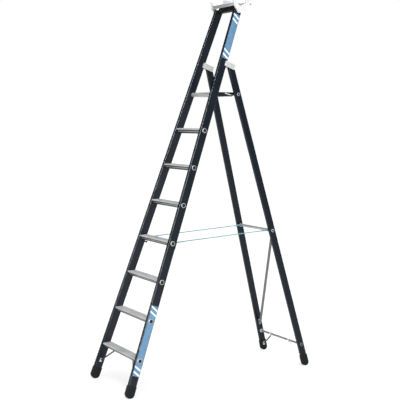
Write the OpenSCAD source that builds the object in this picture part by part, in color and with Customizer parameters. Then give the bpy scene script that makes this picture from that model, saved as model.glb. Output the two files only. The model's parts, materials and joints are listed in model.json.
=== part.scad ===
// Seven-tread step ladder with a fold-up platform and a tool tray, standing open.
// Origin on the floor, in the middle of the four feet. +Z is up, the climbing side
// faces -Y and the rear legs stand towards +Y. Millimetres.

/* [Stance] */
// Distance over the outermost points of the front and rear feet
base_depth = 1512; // [1500:1:1530]
// Width over the front stiles at the floor
base_width = 557; // [545:1:570]
// Width that the ladder loses for each millimetre of height
width_loss = 0.1115; // [0.11:0.0005:0.113]
// Lean of the front stiles from the vertical, in degrees
front_lean = 20.17; // [20:0.01:20.3]
// Lean of the rear legs from the vertical, in degrees
rear_lean = 15.35; // [15.2:0.01:15.5]
// Length of a front stile, from the floor to its top end
stile_length = 2756; // [2748:1:2758]

/* [Rails] */
// Depth of a front stile, front to back
stile_depth = 59; // [58:1:60]
// Depth of a rear leg, front to back
leg_depth = 48; // [46:1:48]
// Thickness of the stiles and legs, side to side
rail_thickness = 25; // [24:0.5:26]
// Wall of the stile and leg tubes
rail_wall = 2.2; // [1.8:0.1:2.6]
// Radius of the rounded edges of the stiles and legs
rail_edge = 5; // [3.5:0.5:6]
// Distance of the rear legs' outer faces inside the stiles' outer faces
leg_inset = 5; // [4:0.5:5]

/* [Treads] */
// Rise from one tread to the next
step_rise = 250; // [248:0.5:250]
// Depth of a tread, front to back
tread_depth = 66; // [64:1:67]
// Height of a tread's section
tread_height = 36; // [35:1:38]
// Wall of the tread's section
tread_wall = 2.4; // [2:0.1:2.8]
// Outer radius of the tube in a tread, which passes through the stiles
tread_tube_r = 11; // [10.5:0.1:11.2]
// Radius of the flanged ring on the outside of a stile
tread_ring_r = 16.5; // [15:0.5:18]

/* [Platform] */
// Thickness of the platform
platform_height = 29; // [28:0.5:30]
// Length from the platform's pivot to its rear edge
platform_reach = 204; // [203:0.5:205]
// Clear gap between the folded platform and each stile
platform_gap = 4; // [3.5:0.5:6]

/* [Hinge] */
// Distance of the rear legs' hinge behind the stiles' centre line
hinge_offset = 70; // [70:0.5:71]
// Radius of the hinge pins
hinge_pin_r = 5; // [4:0.5:6]

/* [Rear bars] */
// Outer radius of the upper rear bar and the platform's support tube
bar_r = 10; // [9:0.5:10]
// Outer radius of the lower rear bar
lower_bar_r = 7; // [7:0.5:8]
// Outer radius of a bar's neck, which passes through a rear leg
neck_r = 7; // [6.5:0.25:7]
// Height of the upper rear bar's centre
upper_bar_z = 1016; // [1005:1:1020]
// Height of the lower rear bar's centre
lower_bar_z = 161; // [155:1:170]

/* [Straps] */
// Width of the webbing
strap_width = 25; // [20:1:26]
// Thickness of the webbing
strap_thickness = 1.6; // [1.2:0.1:1.8]
// Distance of each strap's centre line from the middle of the ladder
strap_x = 176; // [170:1:177]

/* [Hidden] */

$fn = 64;
running_gap = 0.05;
far = 4000;
tread_count = 7;

// colours of the real finishes
anthracite = [0.16, 0.18, 0.21];
aluminium = [0.66, 0.67, 0.68];
white_plastic = [0.88, 0.88, 0.87];
black_rubber = [0.05, 0.05, 0.055];
label_blue = [0.33, 0.53, 0.75];
webbing_blue = [0.62, 0.8, 0.9];
zinc = [0.75, 0.76, 0.78];

// angles and radii of the stance
half_loss = width_loss / 2;
front_taper = atan(half_loss * cos(front_lean));
rear_taper = atan(half_loss * cos(rear_lean));
shoe_wall = 1.5;
front_sole_r = stile_depth / 2 + shoe_wall;
rear_sole_r = leg_depth / 2 + shoe_wall;
sole_flat = 0.6;
shoe_cover = 62;
// distance from the floor, along a rail, to the middle of its sole's round
function sole_centre(r, lean) = (r - sole_flat) / cos(lean);

// where the rails' centre lines meet the floor
front_y = -base_depth / 2 + front_sole_r - (front_sole_r - sole_flat) * tan(front_lean);
rear_y = base_depth / 2 - rear_sole_r + (rear_sole_r - sole_flat) * tan(rear_lean);
front_foot_x = base_width / 2 - rail_thickness / 2 / cos(front_taper);
rear_foot_x = base_width / 2 - leg_inset - rail_thickness / 2 / cos(rear_taper);

// the hinge axis lies on the rear legs' centre line, hinge_offset behind the stiles' one
hinge_s = (rear_y - front_y - hinge_offset * (cos(front_lean) - sin(front_lean) * tan(rear_lean)))
    / (sin(front_lean) + cos(front_lean) * tan(rear_lean));
hinge_y = front_y + hinge_offset * cos(front_lean) + hinge_s * sin(front_lean);
hinge_z = hinge_s * cos(front_lean) - hinge_offset * sin(front_lean);
hinge_t = hinge_s / cos(front_taper);
leg_hinge_t = hinge_z / cos(rear_lean) / cos(rear_taper);

// treads: the tube's centre lies on the stiles' centre line
tread_tube_wall = 2;
tread_tube_drop = 14.5;
tread_nose_n = -27;
tread_nose_height = 6;
tread_back_height = 8;
tread_rib = 1;
tread_rib_pitch = 6;
tread_lip = 2.6;
tread_lip_width = 4.6;
tread_lips = [0.2, 0.59];
tread_ring_thickness = 3;
tread_tube_y = -tread_nose_n / cos(front_lean) - tread_tube_drop * tan(front_lean);
function tread_top(i) = step_rise * i;
function tread_y(i) = front_y + tread_top(i) * tan(front_lean) + tread_nose_n / cos(front_lean);
function tread_t(i) = (tread_top(i) - tread_tube_drop) / cos(front_lean) / cos(front_taper);

// platform: local y runs back from the pivot, local z is up
platform_top = step_rise * 8;
pivot_z = platform_top - platform_height / 2;
pivot_n = 12.5;
pivot_y = front_y + pivot_z * tan(front_lean) + pivot_n / cos(front_lean);
pivot_t = (pivot_z + pivot_n * sin(front_lean)) / cos(front_lean) / cos(front_taper);
pivot_pin_r = 6;
pivot_half = base_width / 2 - half_loss * pivot_z - rail_thickness / cos(front_taper);
nose_rear = 24;
side_rail_thickness = 8;
deck_plate = 3;
deck_rib = 1;
support_z = pivot_z - 0.3;
support_y = rear_y - support_z * tan(rear_lean);
support_d = support_y - pivot_y;
support_gap = 0.4;
function platform_half(d) = pivot_half - platform_gap - tan(front_taper) * d;

// hinge brackets, in the stile's own frame
bracket_low = hinge_t - 19;
bracket_high = hinge_t + 18;
bracket_front = 13;
bracket_rear = 100;
bracket_cheek = 3.5;
bracket_side_gap = 2;
bracket_corner = 5;
bracket_block_rear = 45;
eye_r = 13.5;
head_drop = 16;
// seen across, the stiles' faces stand this much further in behind them than beside them
hinge_shift = half_loss * hinge_offset * sin(front_lean);
hinge_half = base_width / 2 - half_loss * hinge_z - hinge_shift;
bracket_rivets_up = [9, 28];

// tray on top
tray_floor_z = 2610;
tray_rim_z = 2632;
tray_lip_z = 2617;
tray_front_y = 174;
tray_rear_y = 316;
tray_wall = 3;
tray_half = 137.2;
tray_cap_thickness = 14;
tray_cap_rim = 4;
tray_rail_thickness = 6;
tray_rail_low = 2597;
tray_rail_high = 2619;
tray_screws = [[207, 2562], [236, 2580]];

// labels, from and to along the stile
label_lower = [149, 622];
label_upper = [2379, 2708];
label_thickness = 0.4;

// straps
anchor_pin_r = 2.5;
anchor_n = 42;
anchor_z = 984;
anchor_y = front_y + anchor_z * tan(front_lean) + anchor_n / cos(front_lean);
anchor_half = base_width / 2 - half_loss * anchor_z - rail_thickness / cos(front_taper);
upper_bar_y = rear_y - upper_bar_z * tan(rear_lean);
lower_bar_y = rear_y - lower_bar_z * tan(rear_lean);
strap_loop_gap = 0.4;
ear_thickness = 3;
ear_arm = 6;
ear_foot = 10;
ear_drop = 36;

// small braces
strut_r = 5;
brace_r = 9.5;
tab_thickness = 2.5;
strut_tab = [tab_thickness, 16, 26];
strut_end_gap = 1.5;

// ---- frames ------------------------------------------------------------------

module mirrored(side) {
    if (side > 0)
        children();
    else
        mirror([1, 0, 0])
            children();
}

module front_plane() {
    translate([0, front_y, 0])
        rotate([-front_lean, 0, 0])
            children();
}

module rear_plane() {
    translate([0, rear_y, 0])
        rotate([rear_lean, 0, 0])
            children();
}

// x across the stile and outwards, y through its depth and backwards, z along it
module stile_frame() {
    front_plane()
        translate([front_foot_x, 0, 0])
            rotate([0, -front_taper, 0])
                children();
}

module leg_frame() {
    rear_plane()
        translate([rear_foot_x, 0, 0])
            rotate([0, -rear_taper, 0])
                children();
}

module platform_frame() {
    translate([0, pivot_y, pivot_z])
        children();
}

// draws a side view (y, z) and gives it a length along x, centred
module across(length) {
    rotate([90, 0, 90])
        linear_extrude(length, center = true)
            children();
}

// ---- shared shapes -----------------------------------------------------------

module rounded_rect(w, h, r) {
    square([w - 2 * r, h], center = true);
    square([w, h - 2 * r], center = true);
    for (x = [-1, 1], y = [-1, 1])
        translate([x * (w / 2 - r), y * (h / 2 - r)])
            circle(r);
}

// a straight wall with round ends between two points of a section
module wall_2d(a, b, thickness) {
    v = b - a;
    length = norm(v);
    side = [-v[1], v[0]] / length * thickness / 2;
    polygon([a + side, b + side, b - side, a - side]);
    for (p = [a, b])
        translate(p)
            circle(thickness / 2);
}

module rail_section(depth) {
    difference() {
        rounded_rect(rail_thickness, depth, rail_edge);
        rounded_rect(rail_thickness - 2 * rail_wall, depth - 2 * rail_wall, rail_edge - rail_wall);
    }
}

module side_bore(r, t) {
    translate([0, 0, t])
        rotate([0, 90, 0])
            cylinder(r = r, h = 4 * rail_thickness, center = true);
}

// a round rod between two points
module rod(a, b, r) {
    v = b - a;
    translate(a)
        rotate([0, acos(v[2] / norm(v)), atan2(v[1], v[0])])
            cylinder(r = r, h = norm(v));
}

// removes all that lies outside the inner faces of the two stiles
module between_stiles() {
    difference() {
        children();
        for (side = [-1, 1])
            mirrored(side)
                stile_frame()
                    translate([-rail_thickness / 2, -far / 4, 0])
                        cube([far / 4, far / 2, far]);
    }
}

module between_legs() {
    difference() {
        children();
        for (side = [-1, 1])
            mirrored(side)
                leg_frame()
                    translate([-rail_thickness / 2, -far / 4, 0])
                        cube([far / 4, far / 2, far]);
    }
}

// neck through a rail and the ring spread over its outer face; x = 0 is the inner face
module flanged_neck(neck, bore, ring, ring_thickness) {
    bead = ring_thickness / 2;
    rotate([0, 90, 0])
        rotate_extrude() {
            translate([bore, -2])
                square([neck - bore, rail_thickness + 2 + ring_thickness]);
            translate([bore, rail_thickness])
                square([ring - bead - bore, ring_thickness]);
            translate([ring - bead, rail_thickness + bead])
                circle(bead, $fn = 32);
        }
}

// ---- front frame -------------------------------------------------------------

module front_stile(side) {
    color(anthracite)
        mirrored(side)
            stile_frame()
                difference() {
                    translate([0, 0, sole_centre(front_sole_r, front_lean)])
                        linear_extrude(stile_length - sole_centre(front_sole_r, front_lean))
                            rail_section(stile_depth);
                    for (i = [1:tread_count])
                        side_bore(tread_tube_r + running_gap, tread_t(i));
                }
}

module tread_section() {
    w = tread_wall / 2;
    top = -tread_rib - w;
    slope_low = [28, w - tread_height];
    slope_high = [w, -tread_nose_height - w];
    slope = slope_low - slope_high;
    outwards = [slope[1], -slope[0]] / norm(slope);
    outline = [[w, top], [tread_depth - w, top], [tread_depth - w, -tread_back_height],
        [tread_depth - 16, w - tread_height], slope_low, slope_high];
    difference() {
        union() {
            for (k = [0:len(outline) - 1])
                wall_2d(outline[k], outline[(k + 1) % len(outline)], tread_wall);
            translate([tread_tube_y, -tread_tube_drop])
                circle(tread_tube_r);
            translate([tread_tube_y - tread_tube_r / 2, -tread_tube_drop])
                square([tread_tube_r, tread_tube_drop - tread_rib - w]);
            for (y = [3:tread_rib_pitch:tread_depth - 4])
                translate([y, -tread_rib - w])
                    square([tread_rib_pitch / 2.5, tread_rib + w]);
            for (share = tread_lips)
                let (foot = slope_high + slope * share, half = slope / norm(slope) * tread_lip_width / 2)
                    polygon([foot - half, foot + half, foot + half + outwards * tread_lip,
                        foot - half + outwards * tread_lip]);
        }
        translate([tread_tube_y, -tread_tube_drop])
            circle(tread_tube_r - tread_tube_wall);
    }
}

module tread(i) {
    color(aluminium) {
        between_stiles()
            translate([0, tread_y(i), tread_top(i)])
                across(base_width)
                    tread_section();
        for (side = [-1, 1])
            mirrored(side)
                stile_frame()
                    translate([-rail_thickness / 2, 0, tread_t(i)])
                        flanged_neck(tread_tube_r, tread_tube_r - tread_tube_wall, tread_ring_r,
                            tread_ring_thickness);
    }
}

// rounded shoe over the end of a rail; its sole is part of a cylinder that lies along x
module shoe(depth, sole_r, lean) {
    centre = sole_centre(sole_r, lean);
    difference() {
        intersection() {
            translate([0, 0, shoe_cover / 2])
                cube([rail_thickness + 2 * shoe_wall, 2 * sole_r, shoe_cover + 40], center = true);
            translate([0, 0, centre]) {
                rotate([0, 90, 0])
                    cylinder(r = sole_r, h = 4 * rail_thickness, center = true);
                translate([0, 0, shoe_cover / 2])
                    cube([4 * rail_thickness, 2 * sole_r, shoe_cover], center = true);
            }
        }
        translate([0, 0, centre])
            linear_extrude(shoe_cover * 2)
                rounded_rect(rail_thickness, depth, rail_edge);
    }
}

module above_floor() {
    difference() {
        children();
        translate([0, 0, -far / 2])
            cube(far, center = true);
    }
}

module front_foot(side) {
    color(black_rubber)
        mirrored(side)
            above_floor()
                stile_frame()
                    shoe(stile_depth, front_sole_r, front_lean);
}

// ends of the strut on the right: under the first tread and on the stile's inner face
strut_low_t = 137;
strut_head = [141, tread_y(1) + tread_depth / 2 + 5, tread_top(1) - tread_height - tab_thickness - 3];
strut_low_z = strut_low_t * cos(front_lean);
strut_low = [base_width / 2 - half_loss * strut_low_z - rail_thickness - tab_thickness - strut_end_gap,
    front_y + strut_low_t * sin(front_lean), strut_low_z];

module front_strut(side) {
    color(zinc)
        mirrored(side)
            rod(strut_head, strut_low, strut_r);
}

module front_strut_tabs() {
    color(zinc)
        for (side = [-1, 1])
            mirrored(side) {
                translate(strut_head + [0, 0, 3 + tab_thickness / 2])
                    cube([28, 16, tab_thickness], center = true);
                stile_frame()
                    translate([-rail_thickness / 2 - tab_thickness / 2, 0, strut_low_t])
                        cube(strut_tab, center = true);
            }
}

crossbar_low = 2733;
crossbar_height = 40;
crossbar_depth = 24;

module top_crossbar() {
    color(anthracite)
        between_stiles()
            front_plane()
                translate([0, 0, crossbar_low + crossbar_height / 2])
                    across(base_width)
                        difference() {
                            rounded_rect(crossbar_depth, crossbar_height, 4);
                            rounded_rect(crossbar_depth - 5, crossbar_height - 5, 2);
                        }
}

// ---- tray --------------------------------------------------------------------

module tray_pan() {
    color(aluminium)
        across(2 * tray_half)
            difference() {
                translate([tray_front_y, tray_floor_z])
                    square([tray_rear_y - tray_front_y, tray_rim_z - tray_floor_z]);
                translate([tray_front_y + tray_wall, tray_floor_z + tray_wall])
                    square([tray_rear_y - tray_front_y - 2 * tray_wall, tray_rim_z]);
                translate([tray_front_y - tray_wall, tray_lip_z])
                    square([3 * tray_wall, tray_rim_z]);
            }
}

module tray_front_rail() {
    height = tray_rail_high - tray_rail_low;
    color(aluminium)
        translate([0, tray_front_y - tray_rail_thickness / 2, tray_rail_low + height / 2])
            across(2 * tray_half)
                difference() {
                    rounded_rect(tray_rail_thickness, height, 2);
                    for (z = [-0.3, 0, 0.3])
                        translate([-tray_rail_thickness / 2, z * height])
                            circle(1.5, $fn = 24);
                }
}

// side view of an end cap: a foot on the stile, a front arm, a notch and a rear arm
module tray_cap_outline() {
    offset(r = 4, $fn = 32)
        offset(delta = -4)
            polygon([[166, 2600], [200, 2549], [226, 2548], [262, 2584], [304, 2618], [323, 2640],
                [327, 2668], [270, 2668], [264, 2621], [242, 2607], [222, 2597], [208, 2594],
                [190, 2612], [172, 2630], [171, 2646], [160, 2646]]);
}

module tray_cap(side) {
    plate = 5;
    color(white_plastic)
        mirrored(side)
            translate([tray_half, 0, 0])
                rotate([90, 0, 90])
                    difference() {
                        linear_extrude(tray_cap_thickness)
                            tray_cap_outline();
                        translate([0, 0, -1])
                            linear_extrude(tray_cap_thickness - plate + 1)
                                offset(delta = -tray_cap_rim)
                                    tray_cap_outline();
                    }
}

module tray_cap_screws() {
    color(zinc)
        for (side = [-1, 1], p = tray_screws)
            mirrored(side)
                translate([tray_half + tray_cap_thickness, p[0], p[1]])
                    rotate([0, 90, 0])
                        cylinder(r = 5, h = 2.5);
}

// ---- hinge -------------------------------------------------------------------

module hinge_bore(r) {
    translate([0, hinge_y, hinge_z])
        rotate([0, 90, 0])
            cylinder(r = r, h = base_width, center = true);
}

// a plate seen from the side, x0 to x1 in the stile's frame
module bracket_plate(x0, x1, n0, n1, t0, t1) {
    translate([(x0 + x1) / 2, (n0 + n1) / 2, (t0 + t1) / 2])
        across(x1 - x0)
            rounded_rect(n1 - n0, t1 - t0, min(bracket_corner, (t1 - t0) / 2 - 0.1));
}

module hinge_bracket(side) {
    face = rail_thickness / 2;
    outer = face + bracket_cheek;
    leg_out = face - leg_inset + hinge_shift + bracket_side_gap;
    leg_in = face - leg_inset - rail_thickness + hinge_shift - bracket_side_gap;
    inner = leg_in - bracket_cheek;
    rear_face = stile_depth / 2;
    color(white_plastic)
        mirrored(side)
            difference() {
                stile_frame() {
                    bracket_plate(face, outer, bracket_front, bracket_rear, bracket_low, bracket_high);
                    bracket_plate(leg_out, outer, rear_face, bracket_rear, bracket_low, bracket_high);
                    bracket_plate(inner, leg_in, bracket_front, bracket_rear, bracket_low, bracket_high);
                    bracket_plate(leg_in - 1, -face, bracket_front, rear_face, bracket_low, bracket_high);
                    translate([inner, rear_face, bracket_low])
                        cube([outer - inner, bracket_block_rear - rear_face, bracket_high - bracket_low]);
                    translate([inner, rear_face, bracket_high - bracket_cheek])
                        cube([outer - inner, bracket_rear - rear_face - bracket_corner, bracket_cheek]);
                }
                hinge_bore(hinge_pin_r + running_gap);
            }
}

module hinge_bracket_rivets() {
    color(zinc)
        for (side = [-1, 1], t = bracket_rivets_up)
            mirrored(side)
                stile_frame()
                    translate([rail_thickness / 2 + bracket_cheek, bracket_front + 8, bracket_low + t])
                        rotate([0, 90, 0])
                            cylinder(r = 3, h = 1.5);
}

module hinge_pin(side) {
    head = 2.5;
    head_gap = 1;
    outer = hinge_half + bracket_cheek + head_gap;
    inner = hinge_half - leg_inset - rail_thickness + hinge_shift - bracket_side_gap
        - bracket_cheek - head_gap;
    color(zinc)
        mirrored(side)
            translate([0, hinge_y, hinge_z])
                rotate([0, 90, 0]) {
                    translate([0, 0, inner - head])
                        cylinder(r = hinge_pin_r, h = outer - inner + head);
                    for (z = [inner - head, outer])
                        translate([0, 0, z])
                            cylinder(r = hinge_pin_r + 3.5, h = head);
                }
}

module platform_pivot(side) {
    flange = 2.5;
    pin = 30;
    color(zinc)
        mirrored(side) {
            stile_frame()
                translate([-rail_thickness / 2 - flange, pivot_n, pivot_t])
                    rotate([0, 90, 0])
                        cylinder(r = 10, h = flange);
            translate([pivot_half - pin - flange, pivot_y, pivot_z])
                rotate([0, 90, 0])
                    cylinder(r = pivot_pin_r, h = pin + flange / 2);
        }
}

// ---- labels ------------------------------------------------------------------

module label(side, span) {
    color(label_blue)
        mirrored(side)
            stile_frame()
                difference() {
                    translate([rail_thickness / 2, rail_edge - stile_depth / 2, span[0]])
                        cube([label_thickness, stile_depth - 2 * rail_edge, span[1] - span[0]]);
                    for (i = [1, 2])
                        side_bore(tread_ring_r + 0.3, tread_t(i));
                }
}

// ---- straps ------------------------------------------------------------------

// an ear on the stile's inner face, below the fourth tread; its arm reaches up behind the
// tread and carries the pin that the strap loops round
module strap_anchor(side) {
    ear_t = (anchor_z + anchor_n * sin(front_lean)) / cos(front_lean) / cos(front_taper);
    foot_front = anchor_n - 34;
    color(zinc)
        mirrored(side) {
            stile_frame()
                translate([-rail_thickness / 2 - ear_thickness / 2, 0, ear_t])
                    across(ear_thickness) {
                        translate([anchor_n, 0])
                            circle(ear_arm / 2);
                        translate([anchor_n - ear_arm / 2, -ear_drop])
                            square([ear_arm, ear_drop]);
                        translate([foot_front, -ear_drop - ear_foot])
                            square([anchor_n + ear_arm / 2 - foot_front, ear_foot]);
                    }
            translate([strap_x - strap_width / 2 - 2, anchor_y, anchor_z])
                rotate([0, 90, 0])
                    cylinder(r = anchor_pin_r, h = anchor_half - strap_x + strap_width / 2 + 1);
        }
}

// webbing from the anchor pin to the upper rear bar, with a loop round each
module strap(side) {
    a = [anchor_y, anchor_z];
    b = [upper_bar_y, upper_bar_z];
    ra = anchor_pin_r + strap_loop_gap;
    rb = bar_r + strap_loop_gap;
    v = (b - a) / norm(b - a);
    color(webbing_blue)
        mirrored(side)
            translate([strap_x, 0, 0])
                across(strap_width) {
                    difference() {
                        union() {
                            translate(a)
                                circle(ra + strap_thickness);
                            translate(b)
                                circle(rb + strap_thickness);
                            wall_2d(a + v * ra, b - v * rb, strap_thickness);
                        }
                        translate(a)
                            circle(ra);
                        translate(b)
                            circle(rb);
                    }
                }
}

// ---- rear frame --------------------------------------------------------------

function leg_t(z) = z / cos(rear_lean) / cos(rear_taper);

module rear_leg(side) {
    color(anthracite)
        mirrored(side)
            leg_frame()
                difference() {
                    translate([0, 0, sole_centre(rear_sole_r, rear_lean)])
                        linear_extrude(leg_hinge_t - head_drop - sole_centre(rear_sole_r, rear_lean))
                            rail_section(leg_depth);
                    for (z = [support_z, upper_bar_z, lower_bar_z])
                        side_bore(neck_r + running_gap, leg_t(z));
                }
}

// plug in the top of a rear leg, with the eye that turns on the hinge pin
module rear_leg_head(side) {
    half = leg_depth / 2;
    tangent = 30;
    plug = 40;
    color(black_rubber)
        mirrored(side)
            difference() {
                leg_frame()
                    translate([0, 0, leg_hinge_t]) {
                        across(rail_thickness) {
                            circle(eye_r);
                            polygon([[-half, -head_drop], [half, -head_drop],
                                [eye_r * cos(tangent), eye_r * sin(tangent)],
                                [-eye_r * cos(tangent), eye_r * sin(tangent)]]);
                        }
                        translate([0, 0, -head_drop - plug / 2])
                            cube([rail_thickness - 2 * rail_wall - 0.4,
                                leg_depth - 2 * rail_edge, plug], center = true);
                    }
                hinge_bore(hinge_pin_r + running_gap);
            }
}

module rear_foot(side) {
    color(black_rubber)
        mirrored(side)
            above_floor()
                leg_frame()
                    shoe(leg_depth, rear_sole_r, rear_lean);
}

// a tube between the rear legs whose necks pass through them
module leg_bar(z, r) {
    wall = 2;
    neck_bore = neck_r - 2;
    ring = neck_r + 4.5;
    color(aluminium) {
        between_legs()
            translate([0, rear_y - z * tan(rear_lean), z])
                across(base_width)
                    difference() {
                        circle(r);
                        circle(min(r - wall, neck_bore + 1));
                    }
        for (side = [-1, 1])
            mirrored(side)
                leg_frame()
                    translate([-rail_thickness / 2, 0, leg_t(z)])
                        flanged_neck(neck_r, neck_bore, ring, 2.5);
    }
}

// the brace runs from below the upper bar on the right to above the lower bar on the left
brace_high_z = 965;
brace_low_z = 236;
function leg_inner(z) = base_width / 2 - half_loss * z - leg_inset - rail_thickness / cos(rear_taper);
function leg_y(z) = rear_y - z * tan(rear_lean);
brace_high = [leg_inner(brace_high_z) - 12, leg_y(brace_high_z), brace_high_z];
brace_low = [-leg_inner(brace_low_z) + 12, leg_y(brace_low_z), brace_low_z];

module diagonal_brace() {
    tab = [tab_thickness, 22, 44];
    color(aluminium) {
        rod(brace_low, brace_high, brace_r);
        for (end = [[1, brace_high_z], [-1, brace_low_z]])
            mirrored(end[0])
                leg_frame() {
                    translate([-rail_thickness / 2 - tab_thickness / 2, 0, leg_t(end[1])])
                        cube(tab, center = true);
                    translate([-rail_thickness / 2 - 8, 0, leg_t(end[1])])
                        cube([16, 12, 12], center = true);
                }
    }
}

module diagonal_brace_rivets() {
    color(zinc)
        for (end = [[1, brace_high_z], [-1, brace_low_z]], t = [-15, 15])
            mirrored(end[0])
                leg_frame()
                    translate([-rail_thickness / 2 - tab_thickness - 2, 0, leg_t(end[1]) + t])
                        rotate([0, 90, 0])
                            cylinder(r = 4, h = 2);
}

rear_strut_z = 55;
rear_strut_head = [113, lower_bar_y, lower_bar_z - lower_bar_r - strut_r - tab_thickness];
rear_strut_low = [leg_inner(rear_strut_z) - shoe_wall - tab_thickness - strut_end_gap,
    leg_y(rear_strut_z), rear_strut_z];

module rear_strut(side) {
    color(zinc)
        mirrored(side)
            rod(rear_strut_head, rear_strut_low, strut_r);
}

module rear_strut_tabs() {
    clamp_width = 18;
    color(zinc)
        for (side = [-1, 1])
            mirrored(side) {
                translate([rear_strut_head[0], lower_bar_y, lower_bar_z])
                    across(clamp_width)
                        difference() {
                            union() {
                                circle(lower_bar_r + tab_thickness);
                                translate([-4, -lower_bar_r - tab_thickness - 4])
                                    square([8, 6]);
                            }
                            circle(lower_bar_r + running_gap);
                        }
                leg_frame()
                    translate([-rail_thickness / 2 - shoe_wall - tab_thickness / 2, 0,
                        leg_t(rear_strut_z)])
                        cube(strut_tab, center = true);
            }
}

// ---- platform ----------------------------------------------------------------

// plan of the platform between two distances from the pivot, set in from its sides
module platform_plan(d0, d1, inset) {
    translate([0, 0, -platform_height])
        linear_extrude(2 * platform_height)
            polygon([[platform_half(d0) - inset, d0], [platform_half(d1) - inset, d1],
                [-platform_half(d1) + inset, d1], [-platform_half(d0) + inset, d0]]);
}

module deck_section() {
    half = platform_height / 2;
    top = half - deck_rib;
    translate([nose_rear, top - deck_plate])
        square([platform_reach - nose_rear, deck_plate]);
    for (y = [nose_rear + 4:tread_rib_pitch:platform_reach - 4])
        translate([y, top - deck_plate / 2])
            square([tread_rib_pitch / 2.5, deck_rib + deck_plate / 2]);
    for (y = [nose_rear, 80, 136])
        translate([y, -half])
            square([deck_plate, platform_height - deck_rib - 0.5]);
    translate([platform_reach - deck_plate, -6])
        square([deck_plate, top + 6]);
}

module platform_deck() {
    color(aluminium)
        platform_frame()
            intersection() {
                across(base_width)
                    deck_section();
                platform_plan(nose_rear, platform_reach, side_rail_thickness);
            }
}

module nose_section() {
    half = platform_height / 2;
    skin = 2.4;
    difference() {
        union() {
            difference() {
                union() {
                    circle(half);
                    translate([0, -half])
                        square([nose_rear, platform_height]);
                }
                circle(half - skin);
                translate([0, skin - half])
                    square([nose_rear - skin, platform_height - 2 * skin]);
            }
            circle(pivot_pin_r + 3);
            translate([-half + 1, -skin / 2])
                square([nose_rear + half - 2, skin]);
        }
        circle(pivot_pin_r + running_gap);
    }
}

module platform_nose() {
    color(aluminium)
        platform_frame()
            intersection() {
                across(base_width)
                    nose_section();
                platform_plan(-platform_height, nose_rear, 0);
            }
}

// side rail with the notch that drops over the support tube
module side_rail_section() {
    half = platform_height / 2;
    tube = [support_d, support_z - pivot_z];
    mouth = bar_r + support_gap;
    difference() {
        translate([nose_rear, -half])
            square([platform_reach - nose_rear, platform_height]);
        translate(tube)
            circle(mouth);
        polygon([tube + [mouth, 0], tube + [mouth, -platform_height],
            tube + [-mouth - 40, -platform_height], tube + [-mouth * 0.8, mouth * 0.6]]);
    }
}

module platform_side(side) {
    color(black_rubber)
        mirrored(side)
            platform_frame()
                intersection() {
                    translate([base_width / 4, 0, 0])
                        across(base_width / 2)
                            side_rail_section();
                    difference() {
                        platform_plan(nose_rear, platform_reach, 0);
                        platform_plan(0, platform_reach + 1, side_rail_thickness);
                    }
                }
}

// plates under the deck that stiffen the notches
module platform_latch_plates() {
    color(zinc)
        platform_frame()
            for (side = [-1, 1])
                mirrored(side)
                    translate([platform_half(platform_reach) - side_rail_thickness - 4, 0, 0])
                        across(3)
                            intersection() {
                                side_rail_section();
                                translate([140, -platform_height / 2 + 2])
                                    square([platform_reach - deck_plate - 140.5,
                                        platform_height - 3 - deck_plate - deck_rib]);
                            }
}

// ---- nodes -------------------------------------------------------------------

front_stile(-1);  // front_stile_left
front_stile(1);  // front_stile_right
tread(1);  // tread_1
tread(2);  // tread_2
tread(3);  // tread_3
tread(4);  // tread_4
tread(5);  // tread_5
tread(6);  // tread_6
tread(7);  // tread_7
front_foot(-1);  // front_foot_left
front_foot(1);  // front_foot_right
front_strut(-1);  // front_strut_left
front_strut(1);  // front_strut_right
front_strut_tabs();
top_crossbar();
tray_pan();
tray_front_rail();
tray_cap(-1);  // tray_cap_left
tray_cap(1);  // tray_cap_right
tray_cap_screws();
hinge_bracket(-1);  // hinge_bracket_left
hinge_bracket(1);  // hinge_bracket_right
hinge_bracket_rivets();
hinge_pin(-1);  // hinge_pin_left
hinge_pin(1);  // hinge_pin_right
platform_pivot(-1);  // platform_pivot_left
platform_pivot(1);  // platform_pivot_right
label(-1, label_lower);  // label_lower_left
label(1, label_lower);  // label_lower_right
label(-1, label_upper);  // label_upper_left
label(1, label_upper);  // label_upper_right
strap_anchor(-1);  // strap_anchor_left
strap_anchor(1);  // strap_anchor_right
strap(-1);  // strap_left
strap(1);  // strap_right
rear_leg(-1);  // rear_leg_left
rear_leg(1);  // rear_leg_right
rear_leg_head(-1);  // rear_leg_head_left
rear_leg_head(1);  // rear_leg_head_right
rear_foot(-1);  // rear_foot_left
rear_foot(1);  // rear_foot_right
leg_bar(support_z, bar_r);  // platform_support_tube
leg_bar(upper_bar_z, bar_r);  // upper_rear_bar
leg_bar(lower_bar_z, lower_bar_r);  // lower_rear_bar
diagonal_brace();
diagonal_brace_rivets();
rear_strut(-1);  // rear_strut_left
rear_strut(1);  // rear_strut_right
rear_strut_tabs();
platform_deck();
platform_nose();
platform_side(-1);  // platform_side_left
platform_side(1);  // platform_side_right
platform_latch_plates();
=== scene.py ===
# %% [markdown]
# # A step ladder, finished in Blender
# The ladder comes in as a fixed frame of parts with true sizes. Nothing of it is moved here.
# What this script adds is what a maker adds last: rounded edges, moulded detail, webbing,
# rivet heads, and a finish for each surface. It starts by loading the frame.

# %% The frame
import json
import math

import bpy
import numpy as np
from mathutils import Matrix, Vector


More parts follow.
